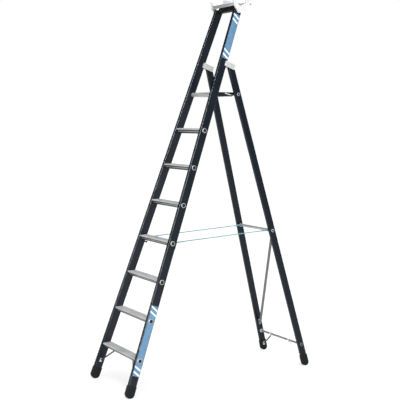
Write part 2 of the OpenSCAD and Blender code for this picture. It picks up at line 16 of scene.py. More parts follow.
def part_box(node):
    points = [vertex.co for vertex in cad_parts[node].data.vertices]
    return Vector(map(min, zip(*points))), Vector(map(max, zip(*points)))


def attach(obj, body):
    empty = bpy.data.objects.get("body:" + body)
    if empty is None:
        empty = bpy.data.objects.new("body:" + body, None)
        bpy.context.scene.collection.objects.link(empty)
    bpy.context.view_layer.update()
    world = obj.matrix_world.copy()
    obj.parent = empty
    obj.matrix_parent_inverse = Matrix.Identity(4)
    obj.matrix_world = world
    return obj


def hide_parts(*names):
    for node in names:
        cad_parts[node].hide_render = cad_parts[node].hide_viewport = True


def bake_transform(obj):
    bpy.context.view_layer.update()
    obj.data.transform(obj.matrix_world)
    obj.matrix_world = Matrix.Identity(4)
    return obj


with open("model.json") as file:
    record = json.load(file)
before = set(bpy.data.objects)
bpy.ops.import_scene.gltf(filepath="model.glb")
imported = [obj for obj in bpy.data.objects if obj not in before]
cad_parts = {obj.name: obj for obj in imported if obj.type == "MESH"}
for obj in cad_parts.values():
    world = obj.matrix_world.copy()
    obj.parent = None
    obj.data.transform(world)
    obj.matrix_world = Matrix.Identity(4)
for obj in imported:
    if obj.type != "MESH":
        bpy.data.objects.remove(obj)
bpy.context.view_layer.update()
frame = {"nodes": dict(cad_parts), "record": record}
nodes = frame["nodes"]

# %% [markdown]
# The stiles lean back and the rear legs lean forward, and both pairs close up towards the
# top. Grain, printed stripes and moulded ribs follow the rail that they are on, so each rail
# has its own axes: x across and outwards, y through its depth, z along it. A rotation made
# once from the two leans and the loss of width serves the materials and the pieces alike.

# %% Axes of the rails
mm = 0.001
front_lean = math.radians(20.17)
rear_lean = math.radians(15.35)
width_loss = 0.1115
sides = {"left": -1, "right": 1}


def rail_axes(lean, side):
    """Turns x across, y through the depth and z along a rail into the ladder's axes."""
    taper = math.atan(width_loss / 2 * math.cos(lean))
    return (Matrix.Rotation(-lean, 3, "X") @ Matrix.Rotation(-side * taper, 3, "Y")).to_4x4()


front_axes = {name: rail_axes(front_lean, side) for name, side in sides.items()}
rear_axes = {name: rail_axes(-rear_lean, side) for name, side in sides.items()}


def span(node, axes):
    """Lowest and highest corner of a CAD node, along the given axes."""
    points = np.array([v.co for v in nodes[node].data.vertices]) @ np.array(axes.to_3x3())
    return Vector(points.min(0)), Vector(points.max(0))


stile_low, stile_high = span("front_stile_right", front_axes["right"])
print("stile, across, deep, long:", [round(v, 4) for v in stile_high - stile_low])

# %% [markdown]
# ## Camera and light
# The camera stands a little below the platform, to the right of the climbing side. It is
# placed by turning round an aim point, which keeps its angle readable as two numbers.

# %% Camera
camera_azimuth = math.radians(58.196)
camera_elevation = math.radians(5.405)
camera_distance = 6.3212
aim = Vector((-0.1439, 0.0677, 1.2278))
back = Vector((math.sin(camera_azimuth) * math.cos(camera_elevation),
    -math.cos(camera_azimuth) * math.cos(camera_elevation), math.sin(camera_elevation)))
camera = bpy.data.objects.new("camera", bpy.data.cameras.new("camera"))
bpy.context.scene.collection.objects.link(camera)
bpy.context.scene.camera = camera
camera.location = aim + back * camera_distance
camera.rotation_euler = (-back).to_track_quat("-Z", "Y").to_euler()
camera.data.lens = 78.23
camera.data.sensor_width = 36
camera.data.clip_end = 200
print("camera at", [round(v, 3) for v in camera.location])

# %% [markdown]
# A dark satin rail shows whatever it faces. In a studio it gets its shape from a bright side
# and a dark side, so the sky here is bright towards +X and +Y, and nearly black towards the
# climbing side, which turns the rails' front faces black. The camera itself sees plain white.
# A wide sun from above lights the floor evenly. The strip box is tall and narrow, and seen by
# glossy surfaces only: it draws the thin bright line along each rounded edge, all the way up,
# and leaves all matt surfaces alone.

# %% Light
bpy.context.scene.view_settings.view_transform = "Standard"
world = bpy.data.worlds.new("studio")
bpy.context.scene.world = world
world.use_nodes = True
sky = world.node_tree
sky.nodes.clear()


def wire(tree, source, out, target, into):
    tree.links.new(source.outputs[out], target.inputs[into])


def build(tree, kind, values=None, **settings):
    """Adds a node, gives it its settings, and fills in the sockets named in values."""
    made = tree.nodes.new("ShaderNode" + kind)
    for key, value in settings.items():
        setattr(made, key, value)
    for key, value in (values or {}).items():
        made.inputs[key].default_value = value
    return made


place = build(sky, "TexCoord")
parts = build(sky, "SeparateXYZ")
ramp = build(sky, "MapRange", {"From Min": -0.6, "From Max": 0.95, "To Min": 0.02, "To Max": 0.42})
lit = build(sky, "Background", {"Color": (0.95, 0.97, 1.0, 1)})
seen = build(sky, "Background", {"Color": (1, 1, 1, 1), "Strength": 1.0})
ray = build(sky, "LightPath")
choose = build(sky, "MixShader")
sky_out = sky.nodes.new("ShaderNodeOutputWorld")
aside = build(sky, "Math", {1: 0.8}, operation="MULTIPLY")
behind = build(sky, "Math", {1: 0.6}, operation="MULTIPLY_ADD")
wire(sky, place, "Generated", parts, 0)
wire(sky, parts, "X", aside, 0)
wire(sky, parts, "Y", behind, 0)
wire(sky, aside, "Value", behind, 2)
wire(sky, behind, "Value", ramp, "Value")
wire(sky, ramp, "Result", lit, "Strength")
wire(sky, ray, "Is Camera Ray", choose, 0)
wire(sky, lit, 0, choose, 1)
wire(sky, seen, 0, choose, 2)
wire(sky, choose, 0, sky_out, "Surface")


def lamp(name, kind, strength, direction, distance=4.0, size=1.0):
    """A light that shines at the middle of the ladder from the given direction."""
    data = bpy.data.lights.new(name, kind)
    light = bpy.data.objects.new(name, data)
    bpy.context.scene.collection.objects.link(light)
    away = Vector(direction).normalized()
    light.location = Vector((0, 0, 1.3)) + away * distance
    light.rotation_euler = (-away).to_track_quat("-Z", "Y").to_euler()
    data.energy = strength
    if kind == "SUN":
        data.angle = size
    else:
        data.size = size
    return light


lamp("overhead_sun", "SUN", 3.3, (0.25, -0.1, 1), size=math.radians(80))
lamp("soft_box", "AREA", 60, (0.9, -0.35, 0.40), distance=4.5, size=1.0)
strip_box = lamp("strip_box", "AREA", 1100, (0.34, -0.85, 0.36), distance=5.0, size=0.7)
strip_box.data.shape = "RECTANGLE"
strip_box.data.size_y = 4.0
strip_box.visible_diffuse = False

# %% [markdown]
# ## Finishes
# Every finish is built from nodes that read the place on the object. A small set of helpers
# keeps each one short: `surface` makes the shader, `turned` gives coordinates along a rail,
# and `roughen` adds a bump from any grey pattern.

# %% Helpers for finishes


def surface(name, color, roughness, metallic=0.0, specular=0.5):
    made = bpy.data.materials.new(name)
    made.use_nodes = True
    tree = made.node_tree
    shader = tree.nodes["Principled BSDF"]
    shader.inputs["Base Color"].default_value = (*color, 1)
    shader.inputs["Roughness"].default_value = roughness
    shader.inputs["Metallic"].default_value = metallic
    shader.inputs["Specular IOR Level"].default_value = specular
    return made, tree, shader


def turned(tree, axes=None, stretch=(1, 1, 1)):
    """Object coordinates in metres, turned to a rail's axes and stretched for grain."""
    here = build(tree, "TexCoord")
    turn = (axes or Matrix.Identity(4)).to_3x3().to_euler("XYZ")
    straight = build(tree, "Mapping", {"Rotation": turn}, vector_type="TEXTURE")
    grain = build(tree, "Mapping", {"Scale": stretch})
    wire(tree, here, "Object", straight, "Vector")
    wire(tree, straight, "Vector", grain, "Vector")
    return grain


def noise(tree, coordinates, scale, detail=3.0, rough=0.55):
    made = build(tree, "TexNoise", {"Scale": scale, "Detail": detail, "Roughness": rough})
    wire(tree, coordinates, "Vector", made, "Vector")
    return made


def limits(tree, source, out, low, high, from_low=0.0, from_high=1.0):
    """Brings a grey pattern between two values."""
    made = build(tree, "MapRange", {"From Min": from_low, "From Max": from_high, "To Min": low,
        "To Max": high})
    wire(tree, source, out, made, "Value")
    return made


def shades(tree, source, out, stops):
    """Turns a grey pattern into colours; stops are (place, colour)."""
    made = build(tree, "ValToRGB")
    ends = made.color_ramp.elements
    ends.remove(ends[1])
    ends[0].position, ends[0].color = stops[0][0], (*stops[0][1], 1)
    for position, color in stops[1:]:
        ends.new(position).color = (*color, 1)
    wire(tree, source, out, made, "Fac")
    return made


def roughen(tree, shader, source, out, depth, strength=1.0):
    made = build(tree, "Bump", {"Distance": depth, "Strength": strength})
    wire(tree, source, out, made, "Height")
    wire(tree, made, "Normal", shader, "Normal")
    return made


# %% [markdown]
# The rails are aluminium tube with a satin anthracite coat. A coat is not a flat colour: it
# is slightly orange-peeled, it keeps faint die lines of the extrusion below it, and hands and
# boots leave paler scuffs. Fine noise gives the peel, noise stretched along the rail gives the
# die lines, and a rare, soft noise gives the scuffs. The rear legs shine a little less than the
# stiles, so the shine is an argument.

# %% Coated rails


def coated_rail(name, axes, shine):
    made, tree, shader = surface(name, (0.006, 0.010, 0.016), 0.3, specular=shine)
    along = turned(tree, axes, (1, 1, 0.02))
    lines = noise(tree, along, 900, 2)
    even = turned(tree, axes)
    peel = noise(tree, even, 1400, 2)
    wear = noise(tree, turned(tree, axes, (1, 1, 0.35)), 16, 8, 0.62)
    tint = shades(tree, wear, "Fac", [(0.35, (0.004, 0.0075, 0.013)), (0.62, (0.006, 0.011, 0.018)),
        (0.8, (0.022, 0.028, 0.035))])
    wire(tree, tint, "Color", shader, "Base Color")
    gloss = limits(tree, wear, "Fac", 0.17, 0.30, 0.3, 0.75)
    wire(tree, gloss, "Result", shader, "Roughness")
    both = build(tree, "Math", operation="ADD")
    wire(tree, lines, "Fac", both, 0)
    wire(tree, peel, "Fac", both, 1)
    roughen(tree, shader, both, "Value", 0.00002, 0.6)
    return made


rail_coat = {}
for side in sides:
    rail_coat["front", side] = coated_rail("coat_front_" + side, front_axes[side], 0.26)
    rail_coat["rear", side] = coated_rail("coat_rear_" + side, rear_axes[side], 0.19)

# %% [markdown]
# Mill-finish aluminium is bright but not polished. The die leaves streaks along the profile,
# handling leaves cloudy stains, and the metal has a slightly uneven gloss. The streaks run
# along X on treads, platform and tray, so one function takes the direction as a stretch.

# %% Bare aluminium and zinc


def bare_metal(name, color, stretch, roughness, streak=0.08, axes=None, metallic=0.6, painted_shade=None):
    """Streaky metal; the last argument, if given, builds a colour of painted shade that darkens it in
    places.
    """
    made, tree, shader = surface(name, color, roughness, metallic)
    lines = noise(tree, turned(tree, axes, stretch), 700, 3)
    clouds = noise(tree, turned(tree, axes), 22, 5, 0.6)
    darker = [c * (1 - 2 * streak) for c in color]
    lighter = [min(1, c * (1 + streak)) for c in color]
    tint = shades(tree, clouds, "Fac", [(0.3, darker), (0.7, lighter)])
    # painted shade: the optional colour multiplies the metal's tint and darkens it where it is dark
    if painted_shade:
        shaded_tint = build(tree, "Mix", {"Factor": 1.0}, data_type="RGBA", blend_type="MULTIPLY")
        wire(tree, tint, "Color", shaded_tint, 6)
        wire(tree, painted_shade(tree), 2, shaded_tint, 7)
        wire(tree, shaded_tint, 2, shader, "Base Color")
    else:
        wire(tree, tint, "Color", shader, "Base Color")
    gloss = limits(tree, lines, "Fac", roughness - 0.09, roughness + 0.11, 0.25, 0.75)
    wire(tree, gloss, "Result", shader, "Roughness")
    roughen(tree, shader, lines, "Fac", 0.00005, 0.8)
    return made


sideways = (0.015, 1, 1)
upright = (1, 1, 0.02)

# %% [markdown]
# A tread's nose and top keep the plain metal. Its sloped front is painted darker in bands: the
# two darkest bands are painted shade in the two grooves of the slope, and the band between them
# and the lower edge get a lighter painted shade. The treads repeat at the rise of the steps, so
# one finish serves them all: the height below the nearest tread top decides how dark the metal
# is. The rings outside the stiles lie at the same heights, and a test of the place across keeps
# the painted shade off them.

# %% Treads
step_rise = 0.25
tread_height = 0.036
inner_face_at_floor = 0.2535
# painted shade of a tread, by share of its height below the top: near-black bands for the shade in
# the two grooves, lighter shade between them and at the lower edge
grooves = [(0.0, 1.0), (0.26, 1.0), (0.30, 0.06), (0.48, 0.08), (0.52, 0.72), (0.66, 0.72),
    (0.70, 0.05), (0.94, 0.06), (0.99, 0.5)]


# builds the painted shade of the treads; places outside the stiles' inner faces stay unpainted
def painted_groove_shade(tree):
    place = build(tree, "SeparateXYZ")
    wire(tree, turned(tree), "Vector", place, 0)
    down = build(tree, "Math", {1: -1.0}, operation="MULTIPLY")
    below = build(tree, "Math", {1: step_rise}, operation="FLOORED_MODULO")
    wire(tree, place, "Z", down, 0)
    wire(tree, down, "Value", below, 0)
    share = limits(tree, below, "Value", 0, 1, 0, tread_height)
    shade_bands = shades(tree, share, "Result", [(at, (grey, grey, grey)) for at, grey in grooves])
    across = build(tree, "Math", operation="ABSOLUTE")
    widened = build(tree, "Math", {1: width_loss / 2}, operation="MULTIPLY_ADD")
    between = build(tree, "Math", {1: inner_face_at_floor}, operation="LESS_THAN")
    wire(tree, place, "X", across, 0)
    wire(tree, place, "Z", widened, 0)
    wire(tree, across, "Value", widened, 2)
    wire(tree, widened, "Value", between, 0)
    made = build(tree, "Mix", data_type="RGBA")
    wire(tree, between, "Value", made, "Factor")
    made.inputs[6].default_value = (1, 1, 1, 1)
    wire(tree, shade_bands, "Color", made, 7)
    return made


# the treads take the painted groove shade on top of their streaky metal
tread_metal = bare_metal("tread_aluminium", (0.54, 0.545, 0.55), sideways, 0.46, metallic=0.75,
    painted_shade=painted_groove_shade)
platform_metal = bare_metal("platform_aluminium", (0.47, 0.475, 0.48), sideways, 0.44)
tray_metal = bare_metal("tray_aluminium", (0.42, 0.425, 0.43), sideways, 0.42)
bar_metal = bare_metal("bar_aluminium", (0.50, 0.505, 0.51), sideways, 0.42)
thin_bar_metal = bare_metal("thin_bar_aluminium", (0.26, 0.265, 0.27), sideways, 0.42)
brace_metal = bare_metal("brace_aluminium", (0.16, 0.165, 0.17), upright, 0.42)
strut_metal = bare_metal("strut_zinc", (0.36, 0.35, 0.33), (1, 1, 1), 0.4)
bright_zinc = bare_metal("bright_zinc", (0.78, 0.79, 0.80), (1, 1, 1), 0.34, 0.12)
# painted shade: the struts are all one zinc, and this near-black copy of it goes on the left struts,
# which stand in the shade under the treads
painted_shade_zinc = bare_metal("painted_shade_zinc", (0.045, 0.05, 0.055), (1, 1, 1), 0.45, 0.15)

# %% [markdown]
# Moulded plastic and rubber have a fine grain from the eroded mould, and they pick up dust in
# the grain. Light plastic gets a faint warm shading, rubber a paler bloom.

# %% Plastics and rubber


def moulded(name, color, dusty, roughness, grain, depth, specular=0.5):
    made, tree, shader = surface(name, color, roughness, specular=specular)
    even = turned(tree)
    cells = build(tree, "TexVoronoi", {"Scale": grain}, feature="SMOOTH_F1")
    wire(tree, even, "Vector", cells, "Vector")
    dust = noise(tree, even, 26, 6, 0.6)
    tint = shades(tree, dust, "Fac", [(0.38, color), (0.72, dusty)])
    wire(tree, tint, "Color", shader, "Base Color")
    gloss = limits(tree, dust, "Fac", roughness - 0.06, roughness + 0.1, 0.3, 0.7)
    wire(tree, gloss, "Result", shader, "Roughness")
    roughen(tree, shader, cells, "Distance", depth, 0.6)
    return made


cap_plastic = moulded("cap_plastic", (0.76, 0.77, 0.78), (0.70, 0.70, 0.71), 0.5, 1500, 0.00008)
light_plastic = moulded("light_plastic", (0.60, 0.60, 0.60), (0.53, 0.53, 0.53), 0.5, 1500, 0.00008)
black_plastic = moulded("black_plastic", (0.006, 0.006, 0.006), (0.012, 0.012, 0.012), 0.42, 1500,
    0.00006, 0.2)
foot_rubber = moulded("foot_rubber", (0.006, 0.008, 0.009), (0.014, 0.016, 0.017), 0.72, 1100,
    0.00012, 0.12)
print("finishes:", len(bpy.data.materials))

# %% [markdown]
# The blue films on the stiles carry two white stripes near each end. A stripe is printed, not
# raised, so it is part of the finish: along the stile, a stripe is where the place along the
# rail, plus a share of the place across it, falls between two values. The film itself is
# glossy and slightly wavy, and its blue has faded unevenly.

# %% Printed film
stripe_slope = 0.45
stripe_width = 12 * mm
stripe_pitch = 34 * mm
stripe_margin = 7 * mm


def printed_film(name, node, axes):
    made, tree, shader = surface(name, (0.10, 0.28, 0.55), 0.28)
    low, high = span(node, axes)
    half = (high.y - low.y) / 2
    middle = (high.y + low.y) / 2
    place = build(tree, "SeparateXYZ")
    wire(tree, turned(tree, axes), "Vector", place, 0)
    tilt = build(tree, "Math", {1: stripe_slope, 2: -stripe_slope * middle}, operation="MULTIPLY_ADD")
    wire(tree, place, "Y", tilt, 0)
    slanted = build(tree, "Math", operation="ADD")
    wire(tree, place, "Z", slanted, 0)
    wire(tree, tilt, "Value", slanted, 1)
    upper = high.z - stripe_margin - stripe_slope * half
    lower = low.z + stripe_margin + stripe_slope * half
    total = None
    for centre in (upper, upper - stripe_pitch, lower, lower + stripe_pitch):
        band = build(tree, "Math", {1: centre, 2: stripe_width / 2}, operation="COMPARE")
        wire(tree, slanted, "Value", band, 0)
        if total:
            joined = build(tree, "Math", operation="MAXIMUM")
            wire(tree, total, "Value", joined, 0)
            wire(tree, band, "Value", joined, 1)
            total = joined
        else:
            total = band
    fade = noise(tree, turned(tree, axes), 30, 4)
    blue = shades(tree, fade, "Fac", [(0.3, (0.10, 0.23, 0.39)), (0.7, (0.14, 0.29, 0.46))])
    ink = build(tree, "Mix", data_type="RGBA")
    wire(tree, total, "Value", ink, "Factor")
    wire(tree, blue, "Color", ink, 6)
    ink.inputs[7].default_value = (0.88, 0.93, 0.97, 1)
    wire(tree, ink, 2, shader, "Base Color")
    ripple = noise(tree, turned(tree, axes), 90, 2)
    roughen(tree, shader, ripple, "Fac", 0.0002, 0.35)
    return made


# %% [markdown]
# Webbing is woven: warp threads run along the strap and weft threads cross them, so its face
# is a field of small pillows. The strap has a flat map in metres, across and along, and two
# waves on that map make the weave, so that it follows the cloth round its loops.

# %% Webbing
thread_pitch = 1.6 * mm


def wave(tree, coordinate, out, pitch):
    """A sine of one coordinate, from -1 to 1, that repeats once in each pitch."""
    turns = build(tree, "Math", {1: 2 * math.pi / pitch}, operation="MULTIPLY")
    made = build(tree, "Math", operation="SINE")
    wire(tree, coordinate, out, turns, 0)
    wire(tree, turns, "Value", made, 0)
    return made


webbing, web_tree, web_shader = surface("webbing", (0.15, 0.36, 0.41), 0.8, specular=0.2)
web_shader.inputs["Sheen Weight"].default_value = 0.25
web_shader.inputs["Sheen Roughness"].default_value = 0.4
web_map = build(web_tree, "UVMap", uv_map="cloth")
web_parts = build(web_tree, "SeparateXYZ")
wire(web_tree, web_map, "UV", web_parts, 0)
warp = wave(web_tree, web_parts, "X", thread_pitch)
weft = wave(web_tree, web_parts, "Y", thread_pitch)
weave = build(web_tree, "Math", operation="MULTIPLY")
wire(web_tree, warp, "Value", weave, 0)
wire(web_tree, weft, "Value", weave, 1)
web_tint = shades(web_tree, limits(web_tree, weave, "Value", 0, 1, -1, 1), "Result",
    [(0.1, (0.10, 0.28, 0.33)), (0.8, (0.19, 0.43, 0.48))])
wire(web_tree, web_tint, "Color", web_shader, "Base Color")
roughen(web_tree, web_shader, weave, "Value", 0.0003, 0.8)

# %% [markdown]
# ## Dressing the frame
# Most parts already have their true shape, and they only get a finish. The table goes by the
# start of each part's name, and the longest match wins.

# %% Finishes for the parts
finish_of = {
    "tread_": tread_metal, "front_foot": foot_rubber, "rear_foot": foot_rubber,
    # the left front strut takes the near-black zinc, which paints the shade it stands in
    "front_strut_left": painted_shade_zinc, "front_strut_right": strut_metal, "front_strut_tabs": bright_zinc,
    "top_crossbar": black_plastic, "tray_pan": tray_metal,
    "tray_front_rail": tray_metal, "tray_cap": cap_plastic, "tray_cap_screws": bright_zinc,
    "hinge_bracket": light_plastic, "hinge_bracket_rivets": bright_zinc, "hinge_pin": bright_zinc,
    "platform_pivot": bright_zinc, "strap_anchor": rail_coat["front", "right"], "strap_": webbing,
    "rear_leg_head": black_plastic, "platform_support_tube": bar_metal, "upper_rear_bar": bar_metal,
    "lower_rear_bar": thin_bar_metal, "diagonal_brace": brace_metal,
    "diagonal_brace_rivets": bright_zinc,
    # the left rear strut takes the near-black zinc, which paints the shade it stands in
    "rear_strut_left": painted_shade_zinc, "rear_strut_right": strut_metal,
    "rear_strut_tabs": bright_zinc, "platform_deck": platform_metal,
    "platform_nose": platform_metal, "platform_side": black_plastic,
    "platform_latch_plates": bright_zinc, "label_": light_plastic,
    "front_stile": rail_coat["front", "right"], "rear_leg_": rail_coat["rear", "right"]}
for side in sides:
    finish_of["front_stile_" + side] = rail_coat["front", side]
    finish_of["rear_leg_" + side] = rail_coat["rear", side]
    for height in ("lower", "upper"):
        film = f"label_{height}_{side}"
        finish_of[film] = printed_film("film_" + height + "_" + side, film, front_axes[side])


def finish(piece, material):
    piece.data.materials.clear()
    piece.data.materials.append(material)


def finish_for(node):
    return finish_of[max((key for key in finish_of if node.startswith(key)), key=len)]


for name, part in nodes.items():
    finish(part, finish_for(name))
print("dressed", len(nodes), "parts")

# %% [markdown]
# ## Softened parts
# A real casting, moulding or bent sheet never ends in a razor edge, and the thin line of light
# on its edge is what tells the eye so. A CAD mesh is loose triangles with hard edges. Here a
# copy of it is welded and its flat faces are joined again, so that a bevel finds the true
# edges. The copy then stands for the CAD part, which stays behind it for weight and contact.

# %% Copies with rounded edges
record = frame["record"]
body_of = {name: body for body, names in record["behaviour"]["bodies"].items() for name in names}
sharp = math.radians(30)


def open_up(piece, pick="FACE"):
    """Leaves only this piece selected, in edit mode."""
    bpy.ops.object.select_all(action="DESELECT")
    piece.select_set(True)
    bpy.context.view_layer.objects.active = piece
    bpy.ops.object.mode_set(mode="EDIT")
    bpy.ops.mesh.select_mode(type=pick)


def close():
    bpy.ops.object.mode_set(mode="OBJECT")


def copy_of(node):
    piece = bpy.data.objects.new(node + "_finished", nodes[node].data.copy())
    bpy.context.scene.collection.objects.link(piece)
    open_up(piece)
    bpy.ops.mesh.select_all(action="SELECT")
    bpy.ops.mesh.customdata_custom_splitnormals_clear()
    bpy.ops.mesh.remove_doubles(threshold=0.00001)
    bpy.ops.mesh.dissolve_limited(angle_limit=math.radians(0.5))
    close()
    return piece


def pick_none(mesh):
    for group in (mesh.vertices, mesh.edges, mesh.polygons):
        group.foreach_set("select", [False] * len(group))


def pick_faces(piece, wanted):
    """Selects the faces for which wanted(centre, normal) is true, and nothing else."""
    pick_none(piece.data)
    chosen = [face for face in piece.data.polygons if wanted(face.center, face.normal)]
    for face in chosen:
        face.select = True
    return len(chosen)


def apply(piece, kind, **settings):
    bpy.ops.object.select_all(action="DESELECT")
    piece.select_set(True)
    bpy.context.view_layer.objects.active = piece
    modifier = piece.modifiers.new(kind.lower(), kind)
    for key, value in settings.items():
        setattr(modifier, key, value)
    bpy.ops.object.modifier_apply(modifier=modifier.name)


def soften(piece, width, segments=2):
    apply(piece, "BEVEL", width=width, segments=segments, limit_method="ANGLE", angle_limit=sharp)
    bpy.ops.object.shade_smooth_by_angle(angle=sharp)


def stands_for(piece, node, material=None):
    """The piece moves with the node's body, hides the node and takes over its finish."""
    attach(piece, body_of[node])
    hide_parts(node)
    finish(piece, material or finish_for(node))


def belongs_to(piece, node, material):
    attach(piece, body_of[node])
    finish(piece, material)


edge_radius = {
    "front_foot_": 1.2, "rear_foot_": 1.2, "top_crossbar": 0.6, "tray_pan": 0.8,
    "tray_front_rail": 0.4, "rear_leg_head_": 1.0, "diagonal_brace": 1.0, "front_strut_tabs": 0.6,
    "rear_strut_tabs": 0.6, "strap_anchor_": 0.6, "platform_side_": 0.8, "platform_latch_plates": 0.5,
    "platform_pivot_": 0.6, "hinge_pin_": 1.0}
softened = 0
for node in nodes:
    match = [radius for start, radius in edge_radius.items() if node.startswith(start)]
    if match and node != "diagonal_brace_rivets":
        part = copy_of(node)
        soften(part, match[0] * mm)
        stands_for(part, node)
        softened += 1
print("softened", softened, "parts")

# %% [markdown]
# ## Tray caps
# Each cap is a plastic moulding with a raised rim round a sunk face. On the copy, the outer
# face is one many-sided face, so an inset with some depth makes the rim, the sloped step and
# the sunk face in one go. The left cap is the right one's mirror image. A mirrored mesh is
# inside out, so its faces are flipped back.

# %% Tray caps
cap_rim = 2.6 * mm
cap_step = 0.8 * mm
cap_sunk = 1.4 * mm
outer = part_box("tray_cap_right")[1][0]
right_cap = copy_of("tray_cap_right")
found = pick_faces(right_cap, lambda centre, normal: abs(centre.x - outer) < 0.1 * mm)
open_up(right_cap)
bpy.ops.mesh.inset(thickness=cap_rim, depth=0)
bpy.ops.mesh.inset(thickness=cap_step, depth=-cap_sunk)
close()
soften(right_cap, 0.5 * mm)
apply(right_cap, "TRIANGULATE")
left_cap = bpy.data.objects.new("tray_cap_left_finished", right_cap.data.copy())
bpy.context.scene.collection.objects.link(left_cap)
left_cap.data.transform(Matrix.Scale(-1, 4, (1, 0, 0)))
left_cap.data.flip_normals()
stands_for(right_cap, "tray_cap_right")
stands_for(left_cap, "tray_cap_left")
print("caps, outer faces found:", found)

# %% [markdown]
# ## Hinge brackets
# The brackets wear a sunk panel with ribs, a common way to hide sink marks and to give a grip.
# The panel is inset like the caps' one. Then `bisect` cuts it into strips across the stile, and
# every second strip is pressed in a little further.

# %% Hinge brackets
panel_rim = 4 * mm
panel_step = 0.8 * mm
panel_sunk = 0.8 * mm
rib_margin = 2 * mm
rib_pitch = 3.2 * mm
rib_step = 0.3 * mm
rib_depth = 0.6 * mm
for side, sign in sides.items():
    node = "hinge_bracket_" + side
    axes = front_axes[side].to_3x3()
    across, along = axes @ Vector((sign, 0, 0)), axes @ Vector((0, 0, 1))
    low, high = span(node, front_axes[side])
    outer = high.x if sign > 0 else -low.x
    bracket = copy_of(node)
    pick_faces(bracket, lambda centre, normal: abs(centre.dot(across) - outer) < 0.1 * mm)
    open_up(bracket)
    bpy.ops.mesh.inset(thickness=panel_rim, depth=0)
    bpy.ops.mesh.inset(thickness=panel_step, depth=-panel_sunk)
    close()

    def in_panel(centre, normal):
        return normal.dot(across) > 0.99 and abs(centre.dot(across) - outer + panel_sunk) < 0.1 * mm

    first, last = low.z + panel_rim + rib_margin, high.z - panel_rim - rib_margin
    cuts = [first + k * rib_pitch / 2 for k in range(int((last - first) / rib_pitch * 2) + 1)]
    for cut in cuts:
        pick_faces(bracket, in_panel)
        open_up(bracket)
        bpy.ops.mesh.bisect(plane_co=along * cut, plane_no=along)
        close()

    def in_groove(centre, normal):
        strip = math.floor((centre.dot(along) - first) / rib_pitch * 2)
        return in_panel(centre, normal) and strip % 2 == 0

    pressed = pick_faces(bracket, lambda c, n: in_groove(c, n) and first < c.dot(along) < cuts[-1])
    open_up(bracket)
    bpy.ops.mesh.inset(thickness=rib_step, depth=-rib_depth)
    close()
    soften(bracket, 0.3 * mm)
    stands_for(bracket, node)
print("bracket grooves:", pressed)

# %% [markdown]
# ## Screws and rivets
# Fasteners are all the same, so one head is turned and then copied to every place. A cylinder
# gets its dome from three insets that rise less and less, and a screw gets a driver recess
# pressed into the middle. The CAD marks each place with a plain disc. The discs of a part are
# told apart by their distance.

# %% Screws and rivets


def fastener(name, radius, height, recess):
    """A domed head along +Z that stands on the origin."""
    bpy.ops.object.select_all(action="DESELECT")
    bpy.ops.mesh.primitive_cylinder_add(vertices=24, radius=radius, depth=height * 0.5,
        location=(0, 0, height * 0.25))
    head = bpy.context.object
    head.name = name
    bpy.ops.object.transform_apply(location=True, rotation=True, scale=True)
    top = height * 0.5
    for shrink, rise in ((0.18, 0.28), (0.24, 0.16), (0.22, 0.06)):
        pick_faces(head, lambda centre, normal: centre.z > top - 0.01 * mm and normal.z > 0.99)
        open_up(head)
        bpy.ops.mesh.inset(thickness=radius * shrink, depth=height * rise)
        close()
        top += height * rise
    if recess:
        pick_faces(head, lambda centre, normal: centre.z > top - 0.01 * mm and normal.z > 0.99)
        open_up(head)
        bpy.ops.mesh.inset(thickness=radius * 0.02, depth=-height * 0.45)
        close()
    bpy.ops.object.shade_smooth_by_angle(angle=sharp)
    return head


def islands(node, reach):
    """Middle of each separate solid of a node; reach is more than its size."""
    groups = []
    for vertex in nodes[node].data.vertices:
        near = [g for g in groups if (g[0] - vertex.co).length < reach]
        if near:
            near[0].append(vertex.co.copy())
        else:
            groups.append([vertex.co.copy()])
    return [sum(g, Vector()) / len(g) for g in groups]


def spread(pattern, name, node, reach, outward, sink):
    """Sets a copy of the pattern on each disc of the node and joins them into one piece."""
    made = []
    for middle in islands(node, reach):
        away = outward(middle)
        head = bpy.data.objects.new(name, pattern.data.copy())
        bpy.context.scene.collection.objects.link(head)
        turn = away.to_track_quat("Z", "Y").to_matrix().to_4x4()
        head.data.transform(Matrix.Translation(middle - away * sink) @ turn)
        made.append(head)
    bpy.ops.object.select_all(action="DESELECT")
    for head in made:
        head.select_set(True)
    bpy.context.view_layer.objects.active = made[0]
    bpy.ops.object.join()
    piece = bpy.context.object
    piece.name = name
    stands_for(piece, node)
    return len(made)


screw_height = 2.5 * mm
rivet_height = 1.5 * mm
brace_rivet_height = 2 * mm
screw = fastener("screw_pattern", 5 * mm, screw_height + cap_sunk, recess=True)
rivet = fastener("rivet_pattern", 3 * mm, rivet_height + panel_sunk, recess=False)
brace_rivet = fastener("brace_rivet_pattern", 4 * mm, brace_rivet_height, recess=False)


def off_stile(middle):
    side = "right" if middle.x > 0 else "left"
    return front_axes[side].to_3x3() @ Vector((sides[side], 0, 0))


def off_leg(middle):
    side = "right" if middle.x > 0 else "left"
    return rear_axes[side].to_3x3() @ Vector((-sides[side], 0, 0))


count = spread(screw, "tray_cap_screw_heads", "tray_cap_screws", 14 * mm,
    lambda middle: Vector((math.copysign(1, middle.x), 0, 0)), screw_height / 2 + cap_sunk)
count += spread(rivet, "bracket_rivet_heads", "hinge_bracket_rivets", 9 * mm, off_stile,
    rivet_height / 2 + panel_sunk)
count += spread(brace_rivet, "brace_rivet_heads", "diagonal_brace_rivets", 12 * mm, off_leg,
    brace_rivet_height / 2)
for pattern in (screw, rivet, brace_rivet):
    bpy.data.objects.remove(pattern)
print("fasteners:", count)

# %% [markdown]
# ## Plugs and collars
# The tubes of the treads and the bars are spread into a bright ring outside the rail, and a
# black plug closes each mouth. A plug is a short cup: a cylinder whose front is inset and
# pressed in. The rear bars also carry a bright collar against the leg's inner face. Both are
# found from the frame: a ring's face is the outermost part of its tread or bar.

# %% Plugs and collars


